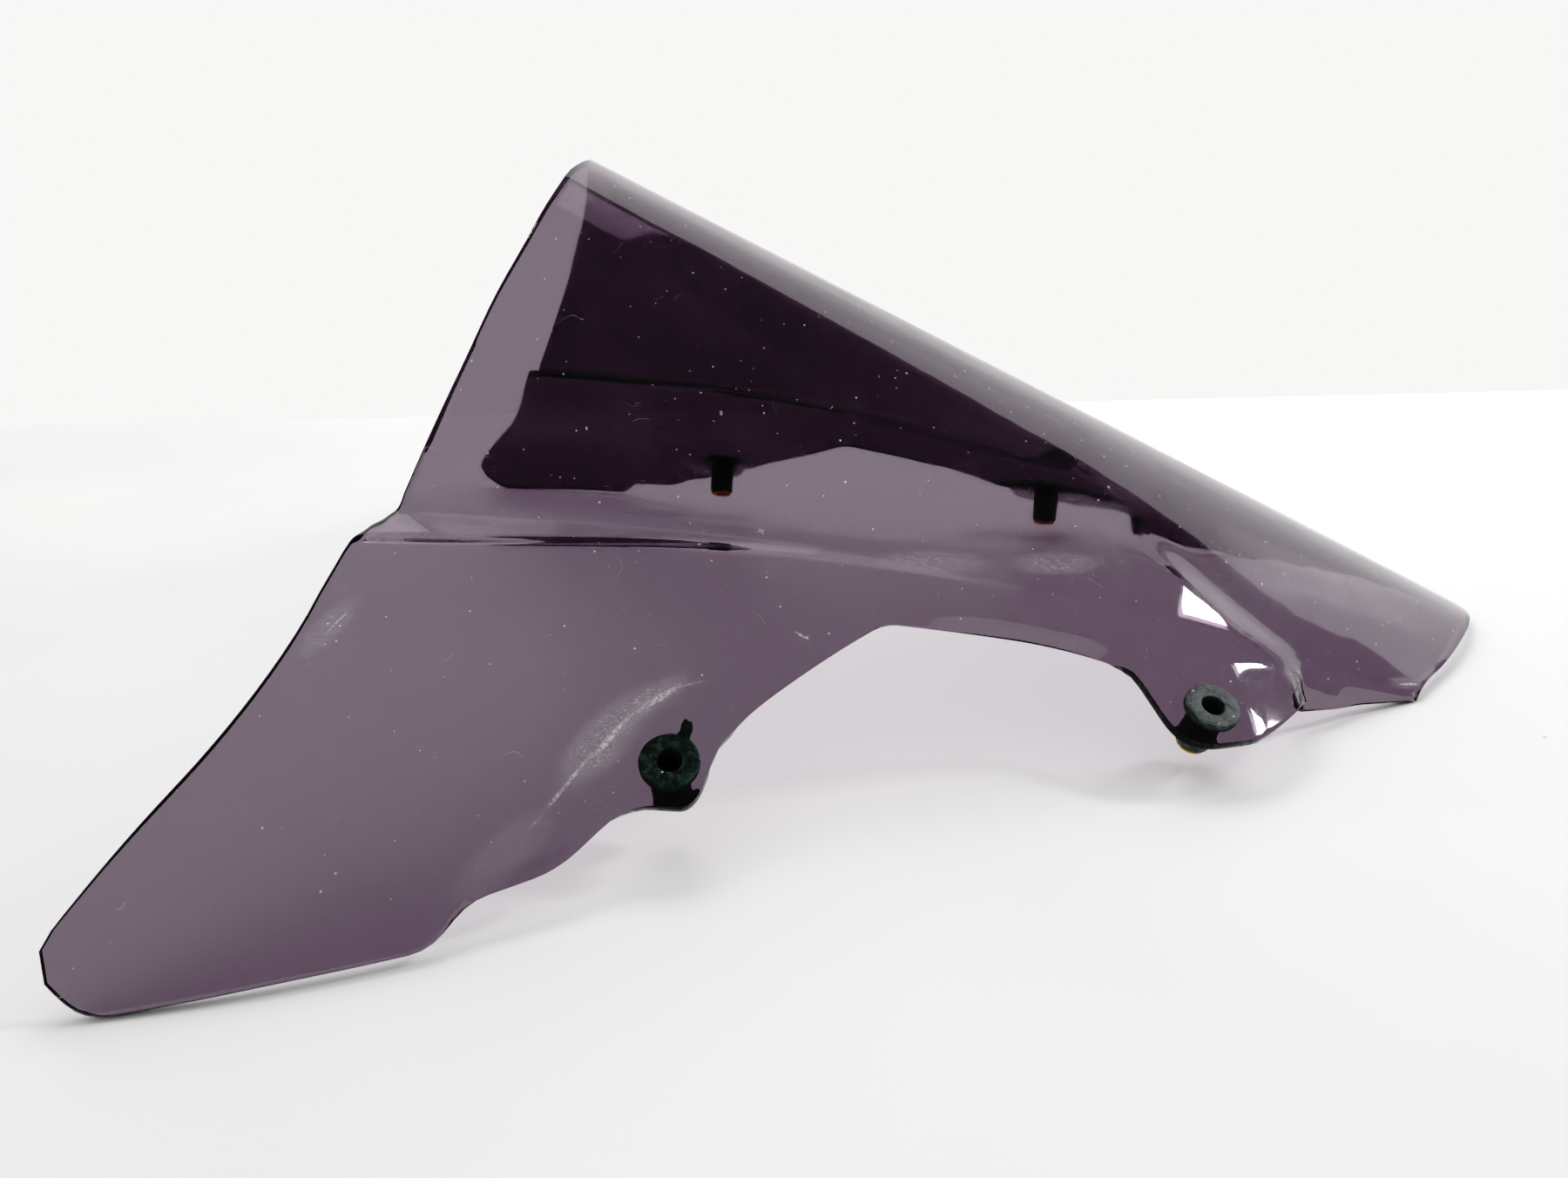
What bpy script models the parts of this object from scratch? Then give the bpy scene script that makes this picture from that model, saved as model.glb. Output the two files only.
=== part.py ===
"""A smoke-tinted motorcycle windshield screen with its four well nuts.

World frame: metres, +X towards the nose of the motorcycle, +Y to its left, +Z up.
The screen stands on its two wing tips and on the two corners of its nose.
The shell is a loft between unlike cross-sections, drawn below in millimetres.
"""

import bmesh
import bpy
import numpy as np
from mathutils import Matrix, Vector

MM = 0.001

# ---- sheet -----------------------------------------------------------------------------
# Added to every point, so that the screen stands on z = 0 centred on the origin.
STAND = np.array([1.04, 0, 1.12])
SHEET_THICKNESS = 2.6
MERGE = 0.00005

# ---- cross-sections of the outer face: one every 40 mm from x = -200 -------------------
FIRST_STATION = -200.0
STATION_STEP = 40.0
# Each rail runs lengthways: half width, then height, at the eleven stations.
RAILS = {
    "ridge": (
        [0, 0, 0, 0, 0, 0, 0, 0, 0, 0, 0],
        [209.5, 188.3, 167.2, 146, 124.9, 103.8, 82.6, 61.5, 40.3, 19.2, -2],
    ),
    "crown": (
        [20, 20, 20, 20, 20, 20, 19, 17, 15, 13, 11],
        [206, 184.8, 163.8, 142.8, 122, 101.2, 80.4, 59.9, 39.2, 18.2, -2.9],
    ),
    "upper": (
        [40, 40, 40, 40, 39, 38, 35, 32, 27, 23, 19],
        [195, 174, 153.5, 133, 113, 93.5, 74.5, 55.5, 36, 15.6, -5],
    ),
    "flank": (
        [58, 58, 57.5, 57, 56, 54, 49, 45, 38, 32, 27],
        [176, 155, 136, 117.5, 100, 83, 66.5, 50, 31.5, 11.8, -8],
    ),
    "lower": (
        [73, 73, 73, 72, 71, 68, 61, 55, 47, 39, 33],
        [152, 134, 116.5, 100, 85.5, 71.5, 58.5, 45, 27, 8.2, -11.5],
    ),
    "steep": (
        [84, 84, 84, 83, 82, 78, 69, 62, 54, 45, 38],
        [125, 110, 95, 83.5, 73, 62.5, 52.5, 41.5, 22.5, 4.5, -15],
    ),
    "foot": (
        [95, 94, 93.5, 91, 88, 84, 75, 69, 60, 50, 42],
        [80, 77, 73.5, 69.5, 64, 56, 47.5, 37.5, 18.5, 1.2, -18],
    ),
    "brow": (
        [112, 110, 106, 99, 93.5, 89.5, 84.5, 79, 70, 57, 48],
        [76, 73.5, 70.5, 67, 61.5, 52.5, 41.5, 31.5, 10.5, -2, -21],
    ),
    "cheek": (
        [122, 118, 112.5, 104, 97.5, 91.5, 87.5, 83, 71.8, 58.8, 50],
        [67, 64.5, 64.5, 61.5, 56.5, 48, 37, 27.5, 8, -3.6, -23],
    ),
    "panel": (
        [138, 132, 123, 112, 100.5, 92.5, 89.3, 85.5, 72.2, 60, 51],
        [53, 51, 55, 53, 50, 43.5, 33, 24.5, 5, -6.5, -26],
    ),
    "apron": (
        [156, 150, 138, 122, 104.5, 92.5, 89.7, 86.5, 72.4, 60.5, 51.5],
        [42, 41, 44, 43, 42.5, 38.5, 29, 21.5, 2, -10, -29],
    ),
    "fold": (
        [177, 171, 154, 134, 109.5, 92.8, 90, 87.5, 72.5, 61, 52],
        [30, 28, 31.5, 31, 34, 32.5, 24.5, 17.5, -2, -15, -33],
    ),
    "hem": (
        [191, 185, 169, 147, 115.5, 93.5, 90.5, 88.5, 72.7, 61.3, 52.3],
        [10, 9, 15, 18, 24, 25.5, 19, 12.5, -6, -19, -37],
    ),
    "skirt": (
        [197, 191.5, 178, 158, 124, 95.5, 91, 89.5, 73, 61.6, 52.6],
        [-10, -9, -3, 4, 13, 18, 13, 6, -11, -24, -42],
    ),
}
RAIL_NAMES = list(RAILS)
RAIL_NET = np.array([RAILS[name] for name in RAIL_NAMES], float)
# How far each bend of the ledge is eased to either side, at the same stations.
EASING = {
    "foot": np.array([3, 3, 3, 3.5, 5, 9, 12, 14, 12, 10, 8], float),
    "brow": np.array([2.5, 2.5, 2.5, 3, 4.5, 7, 7, 5, 2.5, 2.5, 2.5], float),
}
EASING_MOST = 0.45
LAST_ROW = len(RAIL_NAMES) + 2 * len(EASING) - 1

# ---- local shapes ----------------------------------------------------------------------
# The front tab flares outwards below a crease, the rear lobe below a soft line.
TAB_FLARE = 1.9
TAB_EASE = 1.2
TAB_SPAN = (40, 50, 96, 101)
TAB_CREASE_X = [40, 50, 78, 104]
TAB_CREASE_Z = [26, 24.5, 22.5, 16.5]
LOBE_FLARE = 1.5
LOBE_EASE = 3.0
LOBE_SPAN = (-84, -58, -57, -46)
LOBE_TOP = 27.0
# A joggle sets the rear mounting flange in from the wing.
JOGGLE_DEPTH = 1.6
JOGGLE_WIDTH = 4.0
JOGGLE_X = [-118, -113, -102, -92, -85, -77, -67, -50]
JOGGLE_Z = [4, 12, 21, 27.6, 32, 35.5, 37, 36]
JOGGLE_SPAN = (-119, -110, -66, -48)
# The cheek stands proud of the nose up to a slanting edge.
CHEEK_HEIGHT = 1.8
CHEEK_WIDTH = 7.0
CHEEK_START = (66.6, 49.7)
CHEEK_ALONG = (0.773, -0.635)
CHEEK_FADE_X = (5, 50)
CHEEK_FADE_ALONG = (-10, 8)

# ---- outline ---------------------------------------------------------------------------
# Top of the rear rim in plan: x and half width.
CROWN_X = [-100, -100.3, -101.2, -102.5, -104.4, -107.5, -111, -114.9, -119]
CROWN_W = [0, 7, 14, 21, 32.3, 43.7, 53.5, 61.7, 69.5]
# The rest in side view: x, z and the easing of each corner.
RIM = [
    (-121.6, 114, 0),
    (-124.5, 108, 10),
    (-132.7, 91.9, 10),
    (-139.3, 78.7, 3),
    (-140.8, 74.6, 2),
    (-147.4, 73.1, 2.5),
    (-150.1, 68.8, 3),
    (-158.2, 53.3, 8),
    (-167.2, 41, 12),
    (-180.5, 28.4, 14),
    (-195.6, 11, 7),
    (-184.5, -0.3, 5),
]
HEM = [
    (-147.8, 1.4, 8),
    (-120, 1.7, 4),
    (-112.3, 8.8, 4),
    (-94.5, 10.4, 5),
    (-80.5, 18.4, 6),
    (-64.5, 19.2, 6),
    (-59.4, 26, 3),
    (-46, 31.2, 10),
    (-17.5, 41.9, 3.5),
    (28, 31.3, 12),
    (49.6, 23.5, 2.5),
    (56.5, 13.4, 6),
    (64, 11.4, 6),
    (80, 10.8, 4),
    (86.5, 11.2, 4),
    (95.0, 12.0, 2),
    (99.0, 13.0, 1),
    (100.2, 5.2, 1),
]
# Front edge of the nose in plan: x and half width.
NOSE_X = [143.9, 151.5, 159.5, 169, 178.3, 184.5, 188.5, 190.7, 191.4]
NOSE_W = [64.6, 56, 48, 37.6, 26, 17, 10, 4.5, 0]
PLAN_STEPS = 6

# ---- mesh of the loft ------------------------------------------------------------------
UPPER_ROWS = [0, 0.8, 1.7, 2.6, 3.5, 4.4, 5.3, 6.1, 6.8, 7.5, 8.3, 9.1, 9.7, 10.3, 11.2]
LOWER_SHARES = [0.16, 0.32, 0.48, 0.64, 0.76, 0.82, 0.89, 1]
CORNER_SPACING = 3.5
CORNER_MOST = 3
LONGEST_STEP = 15.0
SIDE_PULL = 5

# ---- well nuts: a rubber body with a flange, and a brass nut in its far end -------------
# Each seat: x and z on the loft, and which way it faces on the left-hand side.
NUT_REAR = ((-70.9, 24.7), (0.06, 0.54, 0.84))
NUT_FRONT = ((67.3, 15.9), (0.13, 0.44, 0.89))
FLANGE_RADIUS = 7.25
FLANGE_THICKNESS = 2.2
FLANGE_ROUND = 0.6
BODY_RADIUS = 4.8
BODY_LENGTH = 13.0
BODY_ROUND = 0.8
BORE_RADIUS = 2.9
BORE_ROUND = 0.5
SOCKET_RADIUS = 3.6
SOCKET_DEPTH = 9.8
INSERT_RADIUS = 3.3
INSERT_BORE = 2.1
INSERT_RIM_RADIUS = 4.2
INSERT_RIM = 0.9
INSERT_CHAMFER = 0.35
GAP = 0.3
SEAT_RADIUS = 7.9
SEAT_FLAT = 9.0
SEAT_BLEND = 16.0
SEAT_CLEARANCE = 8.0
HOLE_RADIUS = BODY_RADIUS + GAP
TURN_STEPS = 32


def basis(t):
    """Weights of the four control points round a place t of the way along a cubic B-spline."""
    first = (1 - t) ** 3 / 6
    second = (3 * t**3 - 6 * t**2 + 4) / 6
    third = (-3 * t**3 + 3 * t**2 + 3 * t + 1) / 6
    return np.stack([first, second, third, t**3 / 6], -1)


def spline(control, place):
    """A B-spline over the last axis of control, at places counted in control points."""
    before = 2 * control[..., :1] - control[..., 1:2]
    after = 2 * control[..., -1:] - control[..., -2:-1]
    padded = np.concatenate([before, control, after], -1)
    place = np.clip(place, 0, control.shape[-1] - 1 - 1e-9)
    whole = np.floor(place).astype(int)
    weight = basis(place - whole)
    return sum(padded[..., whole + k] * weight[..., k] for k in range(4))


def eased(points, k, reach):
    """Control point k with one more on either side of it, which rounds the bend."""
    before = points[:, k - 1] - points[:, k]
    after = points[:, k + 1] - points[:, k]
    run_before = np.linalg.norm(before, axis=1, keepdims=True)
    run_after = np.linalg.norm(after, axis=1, keepdims=True)
    near = points[:, k] + before / run_before * np.minimum(reach, EASING_MOST * run_before)
    far = points[:, k] + after / run_after * np.minimum(reach, EASING_MOST * run_after)
    return [near, points[:, k], far]


def section(x):
    """Control points (half width, height) of the cross-section at each x."""
    place = (x - FIRST_STATION) / STATION_STEP
    points = np.moveaxis(spline(RAIL_NET, place), -1, 0)
    rows = []
    for k, name in enumerate(RAIL_NAMES):
        if name in EASING:
            rows += eased(points, k, spline(EASING[name], place)[:, None])
        else:
            rows.append(points[:, k])
    return np.stack(rows, 1)


def smooth_loft(x, row):
    """The loft before its local shapes: (x, half width, z) at each x and row."""
    control = section(x)
    mirrored = control[:, 1:2] * np.array([-1, 1])
    last = 2 * control[:, -1:] - control[:, -2:-1]
    padded = np.concatenate([mirrored, control, last], 1)
    row = np.clip(row, 0, LAST_ROW - 1e-9)
    whole = np.floor(row).astype(int)
    weight = basis(row - whole)
    each = np.arange(len(x))
    flat = sum(padded[each, whole + k] * weight[:, k : k + 1] for k in range(4))
    return np.column_stack([x, flat])


def ramp(start, end, value):
    t = np.clip((value - start) / (end - start), 0, 1)
    return t * t * (3 - 2 * t)


def window(span, value):
    """Rises over the first two numbers of span and falls over the last two."""
    return ramp(span[0], span[1], value) * (1 - ramp(span[2], span[3], value))


def soft_positive(value, ease):
    return 0.5 * (value + np.sqrt(value**2 + ease**2))


def raised(points):
    """How far the outer face stands off the smooth loft at each point."""
    x, z = points[:, 0], points[:, 2]
    below = np.interp(x, JOGGLE_X, JOGGLE_Z) - z
    joggle = ramp(-JOGGLE_WIDTH / 2, JOGGLE_WIDTH / 2, below) * window(JOGGLE_SPAN, x)
    dx, dz = x - CHEEK_START[0], z - CHEEK_START[1]
    along = dx * CHEEK_ALONG[0] + dz * CHEEK_ALONG[1]
    across = dx * CHEEK_ALONG[1] - dz * CHEEK_ALONG[0]
    cheek = ramp(0, CHEEK_WIDTH, across) * ramp(*CHEEK_FADE_ALONG, along)
    return CHEEK_HEIGHT * cheek * ramp(*CHEEK_FADE_X, x) - JOGGLE_DEPTH * joggle


def flared(points):
    """The tab and the lobe lean outwards below their creases."""
    x, z = points[:, 0], points[:, 2]
    below = np.interp(x, TAB_CREASE_X, TAB_CREASE_Z) - z
    points[:, 1] += TAB_FLARE * window(TAB_SPAN, x) * soft_positive(below, TAB_EASE)
    below = LOBE_TOP - z
    points[:, 1] += LOBE_FLARE * window(LOBE_SPAN, x) * soft_positive(below, LOBE_EASE)
    return points


def normals_at(x, row):
    """Unit normals of the flared loft, out of the shell."""
    nudge_x, nudge_row = 0.05, 0.01
    here = flared(smooth_loft(x, row))
    ahead = flared(smooth_loft(x + nudge_x, row)) - here
    lower = row + np.where(row < 1, nudge_row, -nudge_row)
    down = (flared(smooth_loft(x, lower)) - here) * np.where(row < 1, 1, -1)[:, None]
    normal = np.cross(ahead, down)
    return normal / np.linalg.norm(normal, axis=1, keepdims=True)


def outer_face(x, row):
    """The outer face as (x, half width, z), with its local shapes but before the nut seats."""
    points = flared(smooth_loft(x, row))
    moved = points + normals_at(x, row) * raised(points)[:, None]
    moved[row < 1e-6, 1] = 0
    return moved


def row_at(x, wanted, axis):
    """The row where the smooth loft has the wanted half width (axis 1) or height (axis 2)."""
    low, high = np.zeros(len(x)), np.full(len(x), float(LAST_ROW))
    for _ in range(40):
        middle = (low + high) / 2
        value = smooth_loft(x, middle)[:, axis]
        above = value > wanted if axis == 2 else value < wanted
        low = np.where(above, middle, low)
        high = np.where(above, high, middle)
    return (low + high) / 2


def rounded(corners, spacing, most):
    """A run of corners (x, z, easing), each rounded by up to most + 1 points spacing apart."""
    points = []
    for i, (x, z, ease) in enumerate(corners):
        here = np.array([x, z], float)
        if ease == 0:
            points.append(here)
            continue
        before = np.array(corners[i - 1][:2]) - here
        after = np.array(corners[i + 1][:2]) - here
        reach = min(ease, 0.49 * np.linalg.norm(before), 0.49 * np.linalg.norm(after))
        start = here + before / np.linalg.norm(before) * reach
        end = here + after / np.linalg.norm(after) * reach
        steps = int(np.clip(round(ease / spacing), 1, most))
        for t in np.linspace(0, 1, steps + 1):
            points.append((1 - t) ** 2 * start + 2 * t * (1 - t) * here + t * t * end)
    return np.array(points)


def filled(points, longest):
    """The same run of points with no step longer than longest."""
    out = [points[0]]
    for start, end in zip(points[:-1], points[1:]):
        count = max(1, int(np.ceil(np.linalg.norm(end - start) / longest)))
        out += [start + (end - start) * k / count for k in range(1, count + 1)]
    return np.array(out)


def along(points, share):
    """Points at the given shares of the length of a run."""
    run = np.concatenate([[0], np.cumsum(np.linalg.norm(np.diff(points, axis=0), axis=1))])
    return np.column_stack([np.interp(np.asarray(share) * run[-1], run, p) for p in points.T])


def swept(xs, widths):
    """A smooth run through plan points (x, half width), square to the middle plane where it meets it."""
    points = np.column_stack([xs, widths]).astype(float)
    if widths[0] == 0:
        return swept(xs[::-1], widths[::-1])[::-1]
    before = 2 * points[0] - points[1]
    after = points[-2] * np.array([1, -1])
    padded = np.vstack([before, points, after])
    run = []
    for a, b, c, d in zip(padded[:-3], padded[1:-2], padded[2:-1], padded[3:]):
        for t in np.arange(PLAN_STEPS) / PLAN_STEPS:
            bend = (2 * a - 5 * b + 4 * c - d) * t * t + (3 * b - a - 3 * c + d) * t**3
            run.append(b + 0.5 * ((c - a) * t + bend))
    return np.array(run + [points[-1]])


def outline(spacing, most, longest):
    """Rear rim, hem and nose edge, each as (x, row) on the smooth loft."""
    crown, nose = swept(CROWN_X, CROWN_W), swept(NOSE_X, NOSE_W)
    nose_row = row_at(nose[:, 0], nose[:, 1], 1)
    corner_z = smooth_loft(nose[:1, 0], nose_row[:1])[0, 2]
    ring = rounded(RIM + HEM + [(NOSE_X[0], corner_z, 0)], spacing, most)
    split = int(np.argmin(np.hypot(ring[:, 0] - RIM[-1][0], ring[:, 1] - RIM[-1][1])))
    rim, hem = ring[: split + 1], filled(ring[split:], longest)
    rim_run = np.column_stack([rim[:, 0], row_at(rim[:, 0], rim[:, 1], 2)])
    crown_row = row_at(crown[:, 0], crown[:, 1], 1)
    rim_run = np.vstack([np.column_stack([crown[:, 0], crown_row]), rim_run])
    hem_run = np.column_stack([hem[:, 0], row_at(hem[:, 0], hem[:, 1], 2)])
    rim_run[0, 1] = 0
    nose_run = np.column_stack([nose[:, 0], nose_row])[::-1]
    nose_run[0, 1] = 0
    nose_run[-1] = hem_run[-1]
    return rim_run, hem_run, nose_run


def loft_grid(upper_rows, lower_shares, spacing, most, longest):
    """(x, row) of every vertex of the half shell: rows from ridge to hem, columns rear to nose."""
    rim, hem, nose = outline(spacing, most, longest)
    step_x = np.diff(hem[:, 0])
    step = np.maximum(step_x, 0.35 * np.hypot(step_x, 4 * np.diff(hem[:, 1])))
    share = np.concatenate([[0], np.cumsum(step)]) / step.sum()
    grid = []
    for row in upper_rows:
        start, end = np.interp(row, rim[:, 1], rim[:, 0]), np.interp(row, nose[:, 1], nose[:, 0])
        grid.append(np.column_stack([start + (end - start) * share, np.full(len(share), row)]))
    top = grid[-1]
    left_run = np.vstack([top[:1], rim[rim[:, 1] > upper_rows[-1]]])
    right_run = np.vstack([top[-1:], nose[nose[:, 1] > upper_rows[-1]]])
    rear_pull = ((1 - share) ** SIDE_PULL)[:, None]
    front_pull = (share**SIDE_PULL)[:, None]
    for v in lower_shares:
        down = (1 - v) * top + v * hem
        rear_shift = along(left_run, [v])[0] - down[0]
        front_shift = along(right_run, [v])[0] - down[-1]
        grid.append(down + rear_pull * rear_shift + front_pull * front_shift)
    return np.array(grid)


def nut_axis(seat, side):
    """Centre of a nut's seat on the outer face and the unit normal out of it."""
    (x, z), facing = seat
    row = row_at(np.array([float(x)]), float(z), 2)
    centre = outer_face(np.array([float(x)]), row)[0]
    flip = np.array([1, side, 1])
    return centre * flip, np.array(facing) / np.linalg.norm(facing) * flip


def seated(points):
    """The outer face pressed flat under the flange of each nut."""
    for seat in (NUT_REAR, NUT_FRONT):
        centre, normal = nut_axis(seat, 1)
        off = (points - centre) @ normal
        radius = np.linalg.norm(points - centre - off[:, None] * normal, axis=1)
        flat = 1 - ramp(SEAT_FLAT, SEAT_BLEND, radius)
        near = np.linalg.norm(points - centre, axis=1) < 1.5 * SEAT_BLEND
        points = points - (off * flat * near)[:, None] * normal
    return points


def half_shell(upper_rows, lower_shares, spacing, most, longest):
    """Vertices in metres on the right-hand side (-Y) and quads that face outwards."""
    grid = loft_grid(upper_rows, lower_shares, spacing, most, longest)
    rows, columns = grid.shape[:2]
    flat = grid.reshape(-1, 2)
    points = seated(outer_face(flat[:, 0], flat[:, 1]))
    points[flat[:, 1] < 1e-6, 1] = 0
    points = (points * np.array([1, -1, 1]) + STAND) * MM
    quads = []
    for r in range(rows - 1):
        for c in range(columns - 1):
            a = r * columns + c
            quads.append((a, a + columns, a + columns + 1, a + 1))
    return points, quads


def collection_named(name, hidden):
    group = bpy.data.collections.new(name)
    bpy.context.scene.collection.children.link(group)
    group.hide_render = hidden
    return group


def plastic_material():
    """Smoke-tinted acrylic."""
    material = bpy.data.materials.new("smoke_acrylic")
    material.use_nodes = True
    shader = material.node_tree.nodes["Principled BSDF"]
    shader.inputs["Base Color"].default_value = (0.09, 0.07, 0.085, 1)
    shader.inputs["Roughness"].default_value = 0.08
    shader.inputs["Metallic"].default_value = 0
    shader.inputs["Alpha"].default_value = 0.75
    return material


def rubber_material(name, colour, roughness):
    material = bpy.data.materials.new(name)
    material.use_nodes = True
    shader = material.node_tree.nodes["Principled BSDF"]
    shader.inputs["Base Color"].default_value = colour
    shader.inputs["Roughness"].default_value = roughness
    shader.inputs["Metallic"].default_value = 0
    return material


def brass_material():
    material = bpy.data.materials.new("brass")
    material.use_nodes = True
    shader = material.node_tree.nodes["Principled BSDF"]
    shader.inputs["Base Color"].default_value = (0.62, 0.42, 0.16, 1)
    shader.inputs["Roughness"].default_value = 0.35
    shader.inputs["Metallic"].default_value = 1
    return material


def placed(name, mesh, group, material, matrix):
    part = bpy.data.objects.new(name, mesh)
    group.objects.link(part)
    part.matrix_world = matrix
    if material is not None:
        mesh.materials.clear()
        mesh.materials.append(material)
    return part


def baked(part):
    """Replaces the object's mesh with its evaluated mesh and drops the modifiers."""
    graph = bpy.context.evaluated_depsgraph_get()
    mesh = bpy.data.meshes.new_from_object(part.evaluated_get(graph))
    part.modifiers.clear()
    part.data = mesh
    return mesh


def turned(name, profile):
    """A mesh turned round Z from a profile (radius, height) in millimetres, top to bottom."""
    mesh = bpy.data.meshes.new(name)
    points = [(r * MM, 0, z * MM) for r, z in profile]
    edges = [(k, (k + 1) % len(points)) for k in range(len(points))]
    mesh.from_pydata(points, edges, [])
    holder = bpy.data.objects.new(name, mesh)
    bpy.context.scene.collection.objects.link(holder)
    screw = holder.modifiers.new("turn", "SCREW")
    screw.axis = "Z"
    screw.steps = TURN_STEPS
    screw.render_steps = TURN_STEPS
    screw.use_merge_vertices = True
    screw.merge_threshold = MERGE
    screw.use_smooth_shade = True
    made = baked(holder)
    bpy.data.objects.remove(holder)
    made.name = name
    return outward(made)


def outward(mesh):
    """Turns every face of a closed mesh outwards."""
    work = bmesh.new()
    work.from_mesh(mesh)
    bmesh.ops.recalc_face_normals(work, faces=work.faces)
    work.to_mesh(mesh)
    work.free()
    return mesh


def rubber_profile():
    """Flange, body and stepped bore; the seat plane is z = 0 and the flange is above it."""
    top = FLANGE_THICKNESS + GAP
    end = -BODY_LENGTH
    ledge = end + SOCKET_DEPTH
    return [
        (FLANGE_RADIUS - FLANGE_ROUND, top),
        (FLANGE_RADIUS - FLANGE_ROUND * 0.3, top - FLANGE_ROUND * 0.3),
        (FLANGE_RADIUS, top - FLANGE_ROUND),
        (FLANGE_RADIUS, GAP + FLANGE_ROUND * 0.5),
        (FLANGE_RADIUS - FLANGE_ROUND * 0.5, GAP),
        (BODY_RADIUS, GAP),
        (BODY_RADIUS, end + BODY_ROUND),
        (BODY_RADIUS - BODY_ROUND * 0.3, end + BODY_ROUND * 0.3),
        (BODY_RADIUS - BODY_ROUND, end),
        (SOCKET_RADIUS, end),
        (SOCKET_RADIUS, ledge),
        (BORE_RADIUS, ledge),
        (BORE_RADIUS, top - BORE_ROUND),
        (BORE_RADIUS + BORE_ROUND * 0.3, top - BORE_ROUND * 0.3),
        (BORE_RADIUS + BORE_ROUND, top),
    ]


def insert_profile():
    """The brass nut: a sleeve in the rubber and a rim behind it."""
    end = -BODY_LENGTH
    top = end + SOCKET_DEPTH - GAP
    rim_top = end - GAP
    bottom = rim_top - INSERT_RIM
    return [
        (INSERT_RADIUS, top),
        (INSERT_RADIUS, rim_top),
        (INSERT_RIM_RADIUS, rim_top),
        (INSERT_RIM_RADIUS, bottom + INSERT_CHAMFER),
        (INSERT_RIM_RADIUS - INSERT_CHAMFER, bottom),
        (INSERT_BORE + INSERT_CHAMFER, bottom),
        (INSERT_BORE, bottom + INSERT_CHAMFER),
        (INSERT_BORE, top - INSERT_CHAMFER),
        (INSERT_BORE + INSERT_CHAMFER, top),
    ]


def nut_matrix(seat, side):
    """Puts the nut's Z axis on the normal of its seat."""
    centre, normal = nut_axis(seat, side)
    turn = Vector((0, 0, 1)).rotation_difference(Vector(normal)).to_matrix().to_4x4()
    return Matrix.Translation(Vector(centre + STAND) * MM) @ turn


def rod(radius, low, high):
    """A closed cylinder on Z between two heights, all in millimetres."""
    mesh = bpy.data.meshes.new("rod")
    work = bmesh.new()
    bmesh.ops.create_cone(
        work,
        cap_ends=True,
        segments=TURN_STEPS,
        radius1=radius * MM,
        radius2=radius * MM,
        depth=(high - low) * MM,
        matrix=Matrix.Translation((0, 0, (high + low) / 2 * MM)),
    )
    work.to_mesh(mesh)
    work.free()
    return mesh


def screen_object(group, cutters, material, seats):
    points, quads = half_shell(UPPER_ROWS, LOWER_SHARES, CORNER_SPACING, CORNER_MOST, LONGEST_STEP)
    mesh = bpy.data.meshes.new("screen")
    mesh.from_pydata(points.tolist(), [], quads)
    screen = placed("screen", mesh, group, material, Matrix.Identity(4))
    mirror = screen.modifiers.new("mirror", "MIRROR")
    mirror.use_axis = (False, True, False)
    mirror.merge_threshold = MERGE
    wall = screen.modifiers.new("wall", "SOLIDIFY")
    wall.thickness = SHEET_THICKNESS * MM
    wall.offset = -1
    for name, matrix in seats.items():
        bore = rod(HOLE_RADIUS, -SEAT_CLEARANCE, SEAT_CLEARANCE)
        hole = placed(name + "_hole", bore, cutters, None, matrix)
        spot_face = rod(SEAT_RADIUS, 0, SEAT_CLEARANCE)
        seat = placed(name + "_seat", spot_face, cutters, None, matrix)
        for cutter in (hole, seat):
            cutter.hide_render = True
            cutter.display_type = "WIRE"
            cut = screen.modifiers.new(cutter.name, "BOOLEAN")
            cut.operation = "DIFFERENCE"
            cut.solver = "EXACT"
            cut.object = cutter
    return screen


def build():
    for old in list(bpy.data.objects):
        bpy.data.objects.remove(old, do_unlink=True)
    bpy.context.scene.unit_settings.scale_length = 1.0
    parts = collection_named("windshield_screen", False)
    cutters = collection_named("cutters", True)
    seats = {
        "rear_right": nut_matrix(NUT_REAR, -1),
        "rear_left": nut_matrix(NUT_REAR, 1),
        "front_right": nut_matrix(NUT_FRONT, -1),
        "front_left": nut_matrix(NUT_FRONT, 1),
    }
    screen_object(parts, cutters, plastic_material(), seats)
    rubber = {
        "rear": rubber_material("rubber_weathered", (0.075, 0.09, 0.085, 1), 0.7),
        "front": rubber_material("rubber_grey", (0.13, 0.13, 0.14, 1), 0.55),
    }
    brass = brass_material()
    for name, matrix in seats.items():
        body = turned("well_nut_rubber_" + name, rubber_profile())
        placed("well_nut_rubber_" + name, body, parts, rubber[name.split("_")[0]], matrix)
        sleeve = turned("well_nut_insert_" + name, insert_profile())
        placed("well_nut_insert_" + name, sleeve, parts, brass, matrix)


build()
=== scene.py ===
"""The looks of the windshield screen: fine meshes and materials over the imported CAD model.

Same frame as the CAD: metres, +X towards the nose, +Y to the motorcycle's left, +Z up. The shell's
loft repeats the CAD's own sections in millimetres, here on a much finer grid.
"""

import bmesh
import bpy
import numpy as np
from mathutils import Matrix, Vector

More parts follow.
